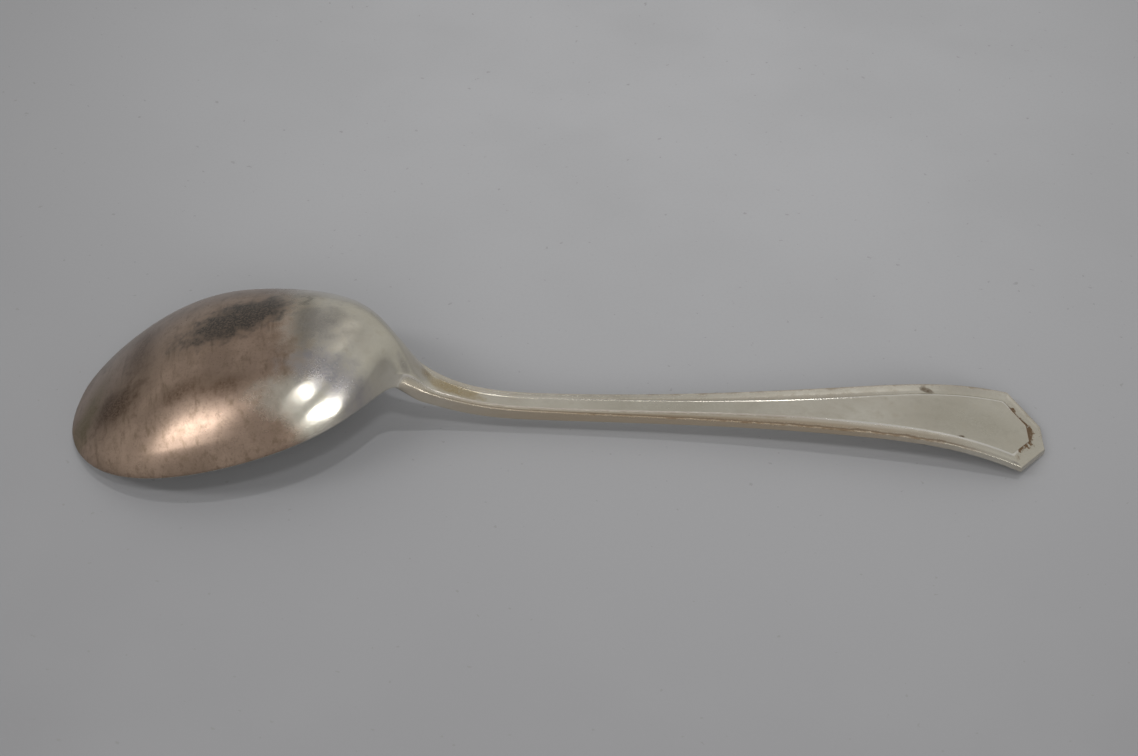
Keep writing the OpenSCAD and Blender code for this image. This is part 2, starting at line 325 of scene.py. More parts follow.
def columns(panel, step, channel, arris):
    """Columns from the far edge to the near one: turn across the bowl, share of the panel's width, and the
    inset in parts of the border, the step and the arris radius."""
    rows = [(share, 1, 1, 0) for share in np.linspace(0, 1, panel + 1)]
    rows += [(1, 1, 1 - t, 0) for t in np.linspace(0, 1, step + 1)[1:]]
    rows += [(1, 1 - t, 0, t) for t in (1 - np.cos(np.linspace(0, math.pi, channel + 1)[1:])) / 2]
    rows += [(1, 0, 0, 1 - math.sin(t)) for t in np.linspace(0, math.pi / 2, arris + 1)[1:]]
    panel_turns = np.linspace(0, PANEL_TURN, panel + 1)
    border_turns = np.linspace(PANEL_TURN, 1, len(rows) - panel)[1:]
    far = np.column_stack([np.concatenate([panel_turns, border_turns]), np.array(rows)])
    near = far * [-1, -1, 1, 1, 1]
    return np.concatenate([far[:0:-1], near]).T


def inset_of(x, of_border, of_step, of_arris):
    return of_border * border_width(x) + of_step * PANEL_STEP + of_arris * ARRIS_RADIUS


def border_share(x, distance):
    """Distance from the outer edge as a share of the border: 0 at the arris, 1 at the ridge and high on
    the bowl."""
    return distance / border_width(x) + NO_BORDER * (1 - ease(LINES_START, LINES_FORMED, x))


def bowed(station, turn):
    """Stations bow towards the heel in the middle of the bowl, along the end of the worn patch."""
    swell = ease(BOWL_WIDEST / 2, WEAR_END, station) * (1 - ease(WEAR_END, WEAR_BOW_END, station))
    return station + WEAR_BOW * swell * (1 - turn ** 2)


def back_grid(stations):
    turn, across, of_border, of_step, of_arris = columns(**BACK_COLUMNS)
    x = bowed(stations[:, None], turn[None, :])
    half = outline_half(x, 0)
    k = wall_share(x)
    inset = inset_of(x, of_border, of_step, of_arris)
    placed = placed_half(x, inset, border_width(x) + PANEL_STEP)
    y = (1 - k) * half * np.sin(math.pi / 2 * turn) + k * across * placed
    distance = np.minimum(inset, SPOON_LENGTH - x)
    lift = (1 - k) * np.minimum(RIM_RADIUS, crown(x) / 2)
    z = (edge_height(x) + lift + (crown(x) - lift) * arch(y / half)
         - k * (relief(x, distance) + arris_fall(distance)))
    return np.stack([x, y, z], axis=-1), lift, border_share(x, distance)


def front_grid(stations):
    turn, across, of_border, of_step, of_arris = columns(**FRONT_COLUMNS)
    # The front starts behind the rim at the tip and catches up at the widest place
    behind = RIM_WIDTH * np.clip(1 - stations / BOWL_WIDEST, 0, None) ** 2
    x = np.repeat((stations + behind)[:, None], len(turn), axis=1)
    k = wall_share(x)
    slope = (side_half(x + PROBE) - side_half(x - PROBE)) / 2 / PROBE
    rim_inside = side_half(x) - RIM_WIDTH * np.sqrt(1 + slope ** 2)
    bowl_edge = np.where(x < BOWL_WIDEST, bowl_half(x, RIM_WIDTH), rim_inside)
    inset = inset_of(x, of_border, of_step, of_arris)
    stem = across * placed_half(x, inset, border_width(x) + PANEL_STEP)
    y = (1 - k) * bowl_edge * np.sin(math.pi / 2 * turn) + k * stem
    half = np.abs(y[:, :1])
    distance = np.minimum(inset, SPOON_LENGTH - x)
    lift = np.minimum((1 - k) * RIM_RADIUS, hollow(x) / 2)
    low = edge_height(x) - edge_thickness(x) * k
    z = (low + lift + (hollow(x) - lift) * arch(y / half)
         + k * (FRONT_RELIEF * relief(x, distance) + arris_fall(distance)))
    # Turned round, because a ring runs over the back to the near edge and returns under the front
    return np.stack([x, y, z], axis=-1)[:, ::-1], lift[:, ::-1], border_share(x, distance)[:, ::-1]


def edge_path(outer, inner, outer_lift, inner_lift, k):
    """Points from the back's edge round to the front's: round a flat rim in the bowl, and down a side wall
    in the stem."""
    towards = inner[:, None, :2] - outer[:, None, :2]
    width = np.maximum(np.linalg.norm(towards, axis=2, keepdims=True), TINY)
    towards = towards / width

    def at(start, run, z):
        return np.concatenate([start[:, None, :2] + towards * run, z], axis=2)

    turn_in = (1 - np.cos(RIM_ANGLES))[None, :, None]
    turn_down = np.sin(RIM_ANGLES)[None, :, None]
    outer_r = outer_lift[:, None, None]
    inner_r = inner_lift[:, None, None]
    outer_z = outer[:, None, 2:]
    inner_z = inner[:, None, 2:]
    middle = (outer_z - outer_r + inner_z - inner_r) / 2
    rim = np.concatenate([
        at(outer, outer_r * turn_in, outer_z - outer_r * turn_down),
        at(outer, width / 2, middle),
        at(inner, -inner_r * turn_in[:, ::-1], inner_z - inner_r * turn_down[:, ::-1]),
    ], axis=1)

    bottom = inner_z + ARRIS_RADIUS
    share = WALL_SHARES[None, :, None]
    round_in = ARRIS_RADIUS * (1 - np.cos(WALL_ANGLES))[None, :, None]
    round_down = ARRIS_RADIUS * np.sin(WALL_ANGLES)[None, :, None]
    wall = np.concatenate([
        at(outer, 0 * share, outer_z + (bottom - outer_z) * share),
        at(outer, round_in, bottom - round_down),
    ], axis=1)
    k = k[:, None, None]
    return (1 - k) * rim + k * wall


def station_places():
    """Places of the mesh's rings along the spoon, closer together where the shape turns."""
    tip_turn = math.acos(1 - WEAR_START / BOWL_WIDEST)
    tip = BOWL_WIDEST * (1 - np.cos(np.linspace(FIRST_RING_TURN, tip_turn, TIP_RINGS)))
    bowl = BOWL_WIDEST * (1 - np.cos(np.linspace(tip_turn, math.pi / 2, BOWL_RINGS)))
    even = [np.linspace(*run) for run in EVEN_RINGS]
    arris = SPOON_LENGTH - ARRIS_RADIUS * (1 - np.sin(np.linspace(0, math.pi / 2, ARRIS_RINGS)))
    return np.concatenate([tip] + [run[1:] for run in (bowl, *even, arris)])


class Surface:
    """The spoon's whole surface: points, faces, and what the plating and the materials need to know of
    each point."""

    def __init__(self):
        self.stations = station_places()
        back, back_lift, back_share = back_grid(self.stations)
        front, front_lift, front_share = front_grid(self.stations)
        k = wall_share(self.stations)
        near = edge_path(back[:, -1], front[:, 0], back_lift[:, -1], front_lift[:, 0], k)
        far = edge_path(back[:, 0], front[:, -1], back_lift[:, 0], front_lift[:, -1], k)[:, ::-1]
        rings = np.concatenate([back, near, front, far], axis=1)
        self.back_count = back.shape[1]
        self.ring_count = rings.shape[1]
        self.last = len(self.stations) - 1

        nothing = np.zeros(1)
        back_tip = np.zeros((1, 3))
        front_tip = np.array([[RIM_WIDTH, 0, edge_height(RIM_WIDTH)]])
        tip_path = edge_path(back_tip, front_tip, nothing, nothing, nothing)[0]
        end_centre = np.array([[SPOON_LENGTH, 0, END_THICKNESS / 2]])
        self.points = np.concatenate([back_tip, tip_path, front_tip, rings.reshape(-1, 3), end_centre])

        edge = np.repeat(border_share(self.stations, 0 * self.stations)[:, None], EDGE_POINTS, axis=1)
        ring_share = np.concatenate([back_share, edge, front_share, edge], axis=1)
        tips = np.full(TIP_POINTS, NO_BORDER)
        self.border = np.concatenate([tips, ring_share.ravel(), nothing])

        # Point at the tip that stands in for each point of a ring in front of the first one
        front_count = front.shape[1]
        path = 1 + np.arange(EDGE_POINTS)
        self.tip_ring = np.concatenate([np.zeros(self.back_count, int), path,
                                        np.full(front_count, EDGE_POINTS + 1), path[::-1]])
        self.turn = columns(**BACK_COLUMNS)[0]
        self.is_back = np.zeros(len(self.points))
        ring_back = np.zeros((len(self.stations), self.ring_count))
        ring_back[:, :self.back_count] = 1
        self.is_back[TIP_POINTS:-1] = ring_back.ravel()
        self.is_back[0] = 1

    def number(self, i, m):
        """Number of a point in ring i, where the ring before the first one is the tip."""
        m = m % self.ring_count
        return self.tip_ring[m] if i < 0 else TIP_POINTS + i * self.ring_count + m

    def worn_span(self):
        """First and last ring, and first and last column, of the worn patch."""
        first = int(np.argmin(np.abs(self.stations - WEAR_START)))
        last = int(np.argmin(np.abs(self.stations - WEAR_END)))
        inside = np.nonzero(np.abs(self.turn) < PANEL_TURN + TINY)[0]
        return first, last, int(inside[0]), int(inside[-1])

    def faces(self, with_wear):
        """Faces of the whole surface, without those of the worn patch where there is wear."""
        first, last, left, right = self.worn_span()
        found = []
        for i in range(-1, self.last):
            for m in range(self.ring_count):
                if with_wear and first <= i < last and left <= m < right:
                    continue
                a, b = self.number(i, m), self.number(i, m + 1)
                c, d = self.number(i + 1, m + 1), self.number(i + 1, m)
                found.append((a, c, d) if a == b else (a, b, c, d))
        centre = len(self.points) - 1
        last_ring = [self.number(self.last, m) for m in range(self.ring_count)]
        return found + [(a, b, centre) for a, b in zip(last_ring, last_ring[1:] + last_ring[:1])]

    def worn_edge(self):
        """Points round the worn patch, in the order in which its own faces would run."""
        first, last, left, right = self.worn_span()
        across = range(left, right)
        along = range(first, last)
        return ([self.number(first, m) for m in across]
                + [self.number(i, right) for i in along]
                + [self.number(last, m + 1) for m in reversed(across)]
                + [self.number(i + 1, left) for i in reversed(along)])

    def normals(self):
        normal = np.zeros_like(self.points)
        for face in self.faces(with_wear=False):
            p = self.points[list(face)]
            facing = np.cross(p[2] - p[0], p[-1] - p[1])
            normal[list(face)] += facing
        return normal / np.maximum(np.linalg.norm(normal, axis=1, keepdims=True), TINY ** 2)

    def thinning(self):
        """How far the skin's outer side sinks to its feathered edge round the worn patch."""
        place = self.stations[:, None]
        before = np.maximum(WEAR_START - place, place - WEAR_END)
        beside = (np.abs(self.turn) - PANEL_TURN)[None, :] * math.pi / 2 * BOWL_WIDTH / 2
        gap = np.hypot(np.clip(before, 0, None), np.clip(beside, 0, None))
        sunk = np.zeros((len(self.stations), self.ring_count))
        sunk[:, :self.back_count] = (PLATE - FEATHERED_EDGE) * (1 - ease(0, FEATHER_RUN, gap))
        return np.concatenate([np.zeros(TIP_POINTS), sunk.ravel(), np.zeros(1)])


def mesh_piece(name, points, faces, border, is_back, sharp_points=()):
    """A mesh object from points in millimetres, without the points that no face uses. Edges between
    sharp points are shaded sharp."""
    used = np.unique(np.concatenate([np.array(face) for face in faces]))
    renumber = np.full(len(points), -1)
    renumber[used] = np.arange(len(used))
    placed = (points[used] - [FRAME_ORIGIN, 0, 0]) * MM
    mesh = bpy.data.meshes.new(name)
    mesh.from_pydata(placed.tolist(), [], [renumber[list(face)].tolist() for face in faces])
    mesh.shade_smooth()
    for label, values in (("border", border), ("is_back", is_back)):
        attribute = mesh.attributes.new(label, "FLOAT", "POINT")
        attribute.data.foreach_set("value", values[used].astype(np.float32))
    sharp = set(renumber[list(sharp_points)].tolist())
    for edge in mesh.edges:
        edge.use_edge_sharp = edge.vertices[0] in sharp and edge.vertices[1] in sharp
    piece = bpy.data.objects.new(name, mesh)
    bpy.context.scene.collection.objects.link(piece)
    return piece


def build_spoon():
    """The struck blank, and the silver skin over it with its worn patch."""
    surface = Surface()
    normals = surface.normals()
    # No point lies under the table, beside the bowl's width or beyond the spoon's ends
    low = np.array([0, -BOWL_WIDTH / 2, 0])
    high = np.array([SPOON_LENGTH, BOWL_WIDTH / 2, np.inf])
    inner = np.clip(surface.points - normals * PLATE, low + PLATE / 2, high - PLATE / 2)
    outer = np.clip(surface.points - normals * surface.thinning()[:, None], low, high)
    blank = mesh_piece("struck_blank", inner, surface.faces(with_wear=False),
                       surface.border, surface.is_back)

    count = len(inner)
    skin = surface.faces(with_wear=True)
    lining = [tuple(v + count for v in reversed(face)) for face in skin]
    edge = surface.worn_edge()
    # The skin's faces run against this order along the patch, so the wall's faces run with it
    walls = [(a, b, b + count, a + count) for a, b in zip(edge, edge[1:] + edge[:1])]
    plate = mesh_piece("silver_skin", np.concatenate([outer, inner]), skin + lining + walls,
                       np.tile(surface.border, 2), np.tile(surface.is_back, 2),
                       edge + [v + count for v in edge])
    return blank, plate


class Graph:
    """A node tree with short calls for the nodes used here."""

    def __init__(self, owner):
        owner.use_nodes = True
        self.tree = owner.node_tree
        self.tree.nodes.clear()

    def put(self, socket, value):
        if isinstance(value, bpy.types.NodeSocket):
            self.tree.links.new(value, socket)
        else:
            socket.default_value = value

    def add(self, kind, inputs=(), **settings):
        node = self.tree.nodes.new(kind)
        for key, value in settings.items():
            setattr(node, key, value)
        for key, value in dict(inputs).items():
            self.put(node.inputs[key], value)
        return node

    def show(self, output, shader):
        """Ends the tree in an output node."""
        self.put(self.add(output).inputs["Surface"], shader.outputs[0])

    def math(self, operation, *values):
        return self.add("ShaderNodeMath", enumerate(values), operation=operation).outputs[0]

    def times(self, first, *others):
        """Product of numbers."""
        for other in others:
            first = self.math("MULTIPLY", first, other)
        return first

    def plus(self, value, mask, amount):
        """Value with an amount added to it where mask is 1."""
        return self.math("MULTIPLY_ADD", mask, amount, value)

    def vector(self, operation, *values):
        return self.add("ShaderNodeVectorMath", enumerate(values), operation=operation).outputs["Vector"]

    def measure(self, operation, *values):
        """Length of a vector, or distance between two places."""
        return self.add("ShaderNodeVectorMath", enumerate(values), operation=operation).outputs["Value"]

    def step(self, value, none_at, full_at):
        """0 where value is none_at, 1 where it is full_at, smooth between."""
        span = {"Value": value, "From Min": none_at, "From Max": full_at}
        return self.add("ShaderNodeMapRange", span, interpolation_type="SMOOTHSTEP").outputs["Result"]

    def between(self, value, low, high, fade):
        """1 where value lies between low and high, with soft ends."""
        above = self.step(value, low - fade, low + fade)
        below = self.step(value, high + fade, high - fade)
        return self.times(above, below)

    def scale(self, value, low, high):
        """Stretches a value from 0 to 1 to the range low to high."""
        span = {"Value": value, "To Min": low, "To Max": high}
        return self.add("ShaderNodeMapRange", span).outputs["Result"]

    def sway(self, value, reach):
        """Stretches a value from 0 to 1 to reach on both sides of 0."""
        return self.scale(value, -reach, reach)

    def mix(self, share, a, b):
        return self.add("ShaderNodeMix", {0: share, 6: a, 7: b}, data_type="RGBA").outputs[2]

    def layered(self, colour, noises, layers):
        """Colour with layers of paint over it, each where its noise is full."""
        for noise, none_at, full_at, strength, paint in layers:
            mask = self.step(noises[noise], none_at, full_at)
            colour = self.mix(self.times(mask, strength), colour, paint)
        return colour

    def noise(self, place, scale, detail, roughness):
        inputs = {"Vector": place, "Scale": scale, "Detail": detail, "Roughness": roughness}
        return self.add("ShaderNodeTexNoise", inputs).outputs[0]

    def turned(self, place, angle):
        """Place turned about Z by an angle in degrees."""
        inputs = {"Vector": place, "Angle": math.radians(angle)}
        return self.add("ShaderNodeVectorRotate", inputs, rotation_type="Z_AXIS").outputs[0]

    def stretched(self, place, angle, stretch):
        """Place turned about Z by an angle in degrees and drawn out along the turned X."""
        return self.vector("MULTIPLY", self.turned(place, angle), (1 / stretch, 1, 1))

    def place(self):
        """Place on the piece in millimetres."""
        at = self.add("ShaderNodeTexCoord").outputs["Object"]
        return self.add("ShaderNodeVectorMath", {0: at, 3: 1 / MM}, operation="SCALE").outputs[0]

    def axes(self, vector):
        return self.add("ShaderNodeSeparateXYZ", {0: vector}).outputs

    def attribute(self, name):
        return self.add("ShaderNodeAttribute", attribute_name=name).outputs["Fac"]

    def curve(self, value, low, high, points):
        """Value through a curve of points, inside the box low to high on both axes."""
        span = {"Value": value, "From Min": low[0], "From Max": high[0]}
        share = self.add("ShaderNodeMapRange", span).outputs["Result"]
        node = self.add("ShaderNodeFloatCurve", {"Value": share})
        line = node.mapping.curves[0]
        placed = [((x - low[0]) / (high[0] - low[0]), (y - low[1]) / (high[1] - low[1])) for x, y in points]
        while len(line.points) < len(placed):
            line.points.new(0.5, 0.5)
        for point, at in zip(line.points, placed):
            point.location = at
        node.mapping.update()
        return self.scale(node.outputs[0], low[1], high[1])


# In the looks below, a pair that steps a mask says first where there is none of it, then where it is full

# Noises of the metal: scale for a place in millimetres, detail, roughness
METAL_NOISES = {
    "cloud": (0.11, 5, 0.55),
    "mottle": (0.45, 7, 0.62),
    "grain": (2.6, 5, 0.65),
}
STREAK_NOISE = (0.8, 5, 0.6)
STREAK_ANGLE = 84
STREAK_STRETCH = 7
# How far mottle and grain move the edges of stains and dirt
RAGGED_BY_MOTTLE = 0.9
RAGGED_BY_GRAIN = 0.35

# Base metal and silver: ground colour, then layers as noise, step, strength and colour
BASE_GROUND = (0.285, 0.206, 0.157, 1)
BASE_LAYERS = [
    ("cloud", 0.35, 0.65, 1.0, (0.375, 0.273, 0.21, 1)),
    ("mottle", 0.45, 0.8, 0.7, (0.2, 0.145, 0.1, 1)),
    ("grain", 0.48, 0.72, 0.45, (0.17, 0.125, 0.09, 1)),
    ("streak", 0.5, 0.72, 0.55, (0.15, 0.105, 0.07, 1)),
]
BASE_ROUGHNESS = (0.24, 0.34)
SILVER_GROUND = (0.6, 0.56, 0.475, 1)
SILVER_LAYERS = [
    ("cloud", 0.35, 0.65, 1.0, (0.68, 0.645, 0.56, 1)),
    ("mottle", 0.45, 0.8, 0.7, (0.52, 0.475, 0.38, 1)),
]
SILVER_ROUGHNESS = (0.1, 0.2)

# Where the silver ends on the bowl's back: across the bowl, and along it from the tip
WEAR_LINE = [(-24, 52.0), (-19.5, 48.0), (-17, 42.0), (-14.2, 40.3), (-12.4, 43.2), (-10.6, 45.6),
             (-4.7, 44.4), (3.7, 42.9), (13.3, 40.8), (24, 39.5)]
WEAR_LINE_LOW = (-24, 38)
WEAR_LINE_HIGH = (24, 54)
# Half the length over which the silver fades, and how far the mottle moves its end
WEAR_FADE = 6.0
WEAR_RAGGED = 4.0

# Stain colours
SOOT = (0.055, 0.05, 0.045, 1)
BROWN = (0.072, 0.04, 0.022, 1)
OLIVE = (0.15, 0.12, 0.06, 1)
GREEN_BROWN = (0.16, 0.135, 0.095, 1)
LEAD_GREY = (0.3, 0.28, 0.26, 1)
LILAC = (0.32, 0.305, 0.33, 1)
STRAW = (0.42, 0.33, 0.19, 1)
TARNISH = (0.45, 0.42, 0.34, 1)
# This colour also paints the dark reflection on the far arris and shade in the far channel
DIRT_AND_DARK_EDGE = (0.1, 0.055, 0.02, 1)

# Stains on the back: place from the tip and across, half sizes, turn in degrees, colour, strength,
# edge softness
STAINS = [
    ((32.5, 1.8), (11.5, 5.4), 20, SOOT, 0.95, 0.5),
    ((10.5, -9.0), (6.0, 5.0), -25, BROWN, 0.95, 0.8),
    ((13.6, 1.8), (3.2, 10.5), 8, BROWN, 0.7, 0.9),
    ((24.2, -12.7), (5.5, 2.2), 10, BROWN, 0.7, 0.9),
    ((31.5, -13.2), (5.0, 2.0), 10, BROWN, 0.65, 0.9),
    ((4.0, -6.0), (3.0, 9.0), -14, OLIVE, 0.85, 0.9),
    ((45.0, -1.2), (2.4, 8.5), 4, GREEN_BROWN, 0.85, 0.9),
    ((48.0, -1.5), (5.0, 6.0), 0, LEAD_GREY, 0.85, 0.9),
    ((51.0, -10.8), (8.0, 3.4), -8, LILAC, 0.85, 0.9),
    ((57.0, 3.0), (6.0, 9.0), 0, TARNISH, 0.5, 0.9),
    ((70.5, 0.3), (6.5, 1.8), -4, STRAW, 0.95, 0.6),
    ((112.0, 0.0), (19.0, 5.0), 0, TARNISH, 0.65, 0.9),
    ((167.0, -1.0), (14.0, 8.0), 0, TARNISH, 0.75, 0.9),
    ((62.2, -2.6), (1.0, 0.9), 0, LEAD_GREY, 0.6, 0.8),
    ((158.7, 6.4), (1.5, 0.7), -25, DIRT_AND_DARK_EDGE, 0.8, 0.4),
    ((163.8, -5.5), (0.55, 0.4), 0, DIRT_AND_DARK_EDGE, 0.8, 0.6),
]
# Grain breaks the stains up, down to this share of their strength
STAIN_GRAIN = (0.38, 0.58)
STAIN_THINNEST = 0.7
STAIN_ROUGHNESS = 0.1

# Half the width over which a look of one side fades out across the middle
SIDE_FADE = 0.3

# Brown silver along the near border and side wall: shares of the border, then places along the spoon
EDGE_BROWN = (0.54, 0.44, 0.32, 1)
BROWNED_STRENGTH = 0.85
BROWNED_SHARES = (0.85, 0.5)
BROWNING_ENDS = (172, 140)
BROWNING_GROWS = (62, 95)
BROWNING_AT_NECK = 0.4

# Silver rubbed bright and smooth on the ridge, with a painted highlight along it, in shares of the border
RUBBED_GLINT = (0.86, 0.83, 0.77, 1)
RUBBED_GLINT_STRENGTH = 0.8
RUBBED_ROUGHNESS = -0.05
RIDGE_OUTSIDE = (0.85, 0.95)
RIDGE_INSIDE = (1.06, 1.02)

# Dirt along the border, with painted shade in the far channel and a painted dark reflection on the far
# arris: first and last place from the tip, side (1 far, -1 near, 0 both), first and last share of the
# border, strength
DIRT_AND_DARK_EDGE_LINES = [
    (90, 168, -1, 0.0, 0.3, 0.85),
    (64, 140, -1, 0.8, 1.1, 0.6),
    (68, 166, -1, 0.35, 0.9, 0.4),
    # Dirt with painted shade: a darker, browner inner half of the far channel
    (96, 150, 1, 0.5, 1.0, 0.35),
    (62, 78, 0, -0.1, 1.2, 0.25),
    # Painted dark reflection: a dark line along the far arris
    (88, 180, 1, -0.2, 0.13, 0.65),
]
LINE_END_FADE = 8.0
LINE_SIDE_FADE = 0.1
LINE_RAGGED = 0.35
# Dirt round the end of the panel: places from the tip, then shares of the border
END_DIRT_PLACES = (173.6, 174.8)
END_DIRT_SHARES = (0.72, 0.86)
# Share of the border past which the panel stays clean
OFF_PANEL = (1.06, 1.01)
DIRT_AND_DARK_EDGE_ROUGHNESS = 0.35
DIRT_AND_DARK_EDGE_METALLIC = 0.2

# Fine scratches: direction in degrees and noise scale
SCRATCHES = [(8, 2.6), (-38, 2.1), (62, 1.8)]
SCRATCH_STRETCH = 26
SCRATCH_DETAIL = 2
SCRATCH_NOISE_ROUGHNESS = 0.5
SCRATCH_EDGE = (0.63, 0.7)
SCRATCH_ROUGHNESS = 0.06

# Heights of the fine relief, as shares of its depth
GRAIN_HEIGHT = 0.1
SCRATCH_HEIGHT = -0.2
DIRT_AND_DARK_EDGE_HEIGHT = 0.8
RELIEF_STRENGTH = 0.07
RELIEF_DEPTH = 0.02


class Metal(Graph):
    """The worn metal's node tree, with the places and noises that its looks share."""

    def __init__(self, material):
        super().__init__(material)
        self.at = self.place()
        x, y, _ = self.axes(self.at)
        self.along = self.math("ADD", x, FRAME_ORIGIN)
        self.across = y
        self.is_back = self.attribute("is_back")
        self.border = self.attribute("border")
        self.noises = {name: self.noise(self.at, *how) for name, how in METAL_NOISES.items()}
        streaks = self.stretched(self.at, STREAK_ANGLE, STREAK_STRETCH)
        self.noises["streak"] = self.noise(streaks, *STREAK_NOISE)
        self.mottle = self.noises["mottle"]
        self.grain = self.noises["grain"]
        self.ragged = self.math("ADD", self.sway(self.mottle, RAGGED_BY_MOTTLE),
                                self.sway(self.grain, RAGGED_BY_GRAIN))


def worn_plating(g):
    """Colour and roughness of silver that has worn through to brown-pink base metal on the bowl's back."""
    base = g.layered(BASE_GROUND, g.noises, BASE_LAYERS)
    silver = g.layered(SILVER_GROUND, g.noises, SILVER_LAYERS)
    line = g.curve(g.across, WEAR_LINE_LOW, WEAR_LINE_HIGH, WEAR_LINE)
    to_line = g.math("SUBTRACT", line, g.along)
    reach = g.math("ADD", to_line, g.sway(g.mottle, WEAR_RAGGED))
    worn = g.times(g.step(reach, -WEAR_FADE, WEAR_FADE), g.is_back)
    base_rough = g.scale(g.mottle, *BASE_ROUGHNESS)
    silver_rough = g.scale(g.mottle, *SILVER_ROUGHNESS)
    rough = g.add("ShaderNodeMix", {0: worn, 2: silver_rough, 3: base_rough}).outputs[0]
    return g.mix(worn, silver, base), rough


def stain(g, centre, size, turn, softness):
    """1 inside a ragged ellipse."""
    from_centre = g.vector("SUBTRACT", g.at, (centre[0] - FRAME_ORIGIN, centre[1], 0))
    in_sizes = g.vector("MULTIPLY", g.turned(from_centre, -turn), (1 / size[0], 1 / size[1], 0))
    radius = g.math("ADD", g.measure("LENGTH", in_sizes), g.ragged)
    return g.step(radius, 1 + softness / 2, 1 - softness)


def stained(g, colour, rough):
    """Stains on the back, broken up by the grain."""
    speckled = g.times(g.scale(g.step(g.grain, *STAIN_GRAIN), STAIN_THINNEST, 1.0), g.is_back)
    for centre, size, turn, paint, strength, softness in STAINS:
        mask = g.times(stain(g, centre, size, turn, softness), speckled)
        colour = g.mix(g.times(mask, strength), colour, paint)
        rough = g.plus(rough, mask, STAIN_ROUGHNESS * strength)
    return colour, rough


def handled_border(g, colour, rough):
    """Silver browned along the near border, and rubbed bright on the ridge with a painted highlight there.
    """
    browned = g.times(g.step(g.border, *BROWNED_SHARES),
                      g.step(g.across, SIDE_FADE, -SIDE_FADE),
                      g.step(g.along, *BROWNING_ENDS),
                      g.scale(g.step(g.along, *BROWNING_GROWS), BROWNING_AT_NECK, 1.0))
    colour = g.mix(g.times(browned, BROWNED_STRENGTH), colour, EDGE_BROWN)
    ridge = g.times(g.step(g.border, *RIDGE_OUTSIDE), g.step(g.border, *RIDGE_INSIDE), g.is_back)
    # Painted highlight along the ridge, over silver rubbed bright there
    colour = g.mix(g.times(ridge, RUBBED_GLINT_STRENGTH), colour, RUBBED_GLINT)
    return colour, g.plus(rough, ridge, RUBBED_ROUGHNESS)


def border_dirt_and_dark_edge(g):
    """1 where the border's lines and the end of the panel are dirty, with painted shade in the far channel
    and a painted dark reflection on the far arris.
    """
    found = g.times(g.step(g.along, *END_DIRT_PLACES),
                    g.step(g.math("ADD", g.border, g.ragged), *END_DIRT_SHARES))
    loose = g.plus(g.border, g.ragged, LINE_RAGGED)
    for first, last, side, low, high, strength in DIRT_AND_DARK_EDGE_LINES:
        line = g.times(g.between(g.along, first, last, LINE_END_FADE),
                       g.between(loose, low, high, LINE_SIDE_FADE),
                       strength)
        if side:
            line = g.times(line, g.step(g.across, -SIDE_FADE * side, SIDE_FADE * side))
        found = g.math("MAXIMUM", found, line)
    return g.times(found, g.step(g.border, *OFF_PANEL), g.is_back)


def scratches(g):
    """1 in fine scratches."""
    found = 0.0
    for angle, scale in SCRATCHES:
        drawn_out = g.stretched(g.at, angle, SCRATCH_STRETCH)
        lines = g.noise(drawn_out, scale, SCRATCH_DETAIL, SCRATCH_NOISE_ROUGHNESS)
        found = g.math("MAXIMUM", found, g.step(lines, *SCRATCH_EDGE))
    return found


def worn_metal(name):
    """Worn silver plate with stains, a rubbed and dirty border, a painted highlight on the ridge, painted
    shade in the far channel and a painted dark reflection on the far arris, and scratches.
    """
    material = bpy.data.materials.new(name)
    g = Metal(material)
    colour, rough = worn_plating(g)
    colour, rough = stained(g, colour, rough)
    colour, rough = handled_border(g, colour, rough)
    dirt_and_dark_edge = border_dirt_and_dark_edge(g)
    colour = g.mix(dirt_and_dark_edge, colour, DIRT_AND_DARK_EDGE)
    rough = g.plus(rough, dirt_and_dark_edge, DIRT_AND_DARK_EDGE_ROUGHNESS)
    scratch = scratches(g)
    rough = g.plus(rough, scratch, SCRATCH_ROUGHNESS)

    height = g.plus(g.times(g.grain, GRAIN_HEIGHT), scratch, SCRATCH_HEIGHT)
    height = g.plus(height, dirt_and_dark_edge, DIRT_AND_DARK_EDGE_HEIGHT)
    fine_relief = {"Height": height, "Strength": RELIEF_STRENGTH, "Distance": RELIEF_DEPTH * MM}
    bump = g.add("ShaderNodeBump", fine_relief)
    surface = g.add("ShaderNodeBsdfPrincipled", {
        "Base Color": colour,
        "Metallic": g.scale(dirt_and_dark_edge, 1.0, DIRT_AND_DARK_EDGE_METALLIC),
        "Roughness": rough,
        "Normal": bump.outputs[0],
    })
    g.show("ShaderNodeOutputMaterial", surface)
    return material


# Room round the spoon: height of the direction and colour, from the horizon to the zenith
HORIZON = (0.42, 0.42, 0.41, 1)
ROOM = [
    (0.0, HORIZON),
    (0.25, (0.54, 0.54, 0.525, 1)),
    (0.65, (0.53, 0.53, 0.525, 1)),
    (1.0, (0.42, 0.42, 0.42, 1)),
]
# Paler parts of the ceiling: direction and colour, and distances from that direction
CEILING_GLOWS = [
    ((0.14, 0.37, 0.92), (0.74, 0.735, 0.725, 1)),
    ((0.22, 0.0, 0.98), (0.62, 0.615, 0.61, 1)),
]
GLOW_REACH = (0.45, 0.02)
# Strength of the room as light, and as a reflection in the metal
ROOM_STRENGTHS = (0.92, 1.0)

# Table top: a painted pool of light, palest round one place and greyer away from it
TOP_REACH = 1600.0
LIGHT_POOL_CENTRE = (40, 180, 0)
PALE_TOP = (0.38, 0.38, 0.39, 1)
GREY_TOP = (0.222, 0.221, 0.227, 1)
LIGHT_POOL_REACH = (30, 330)
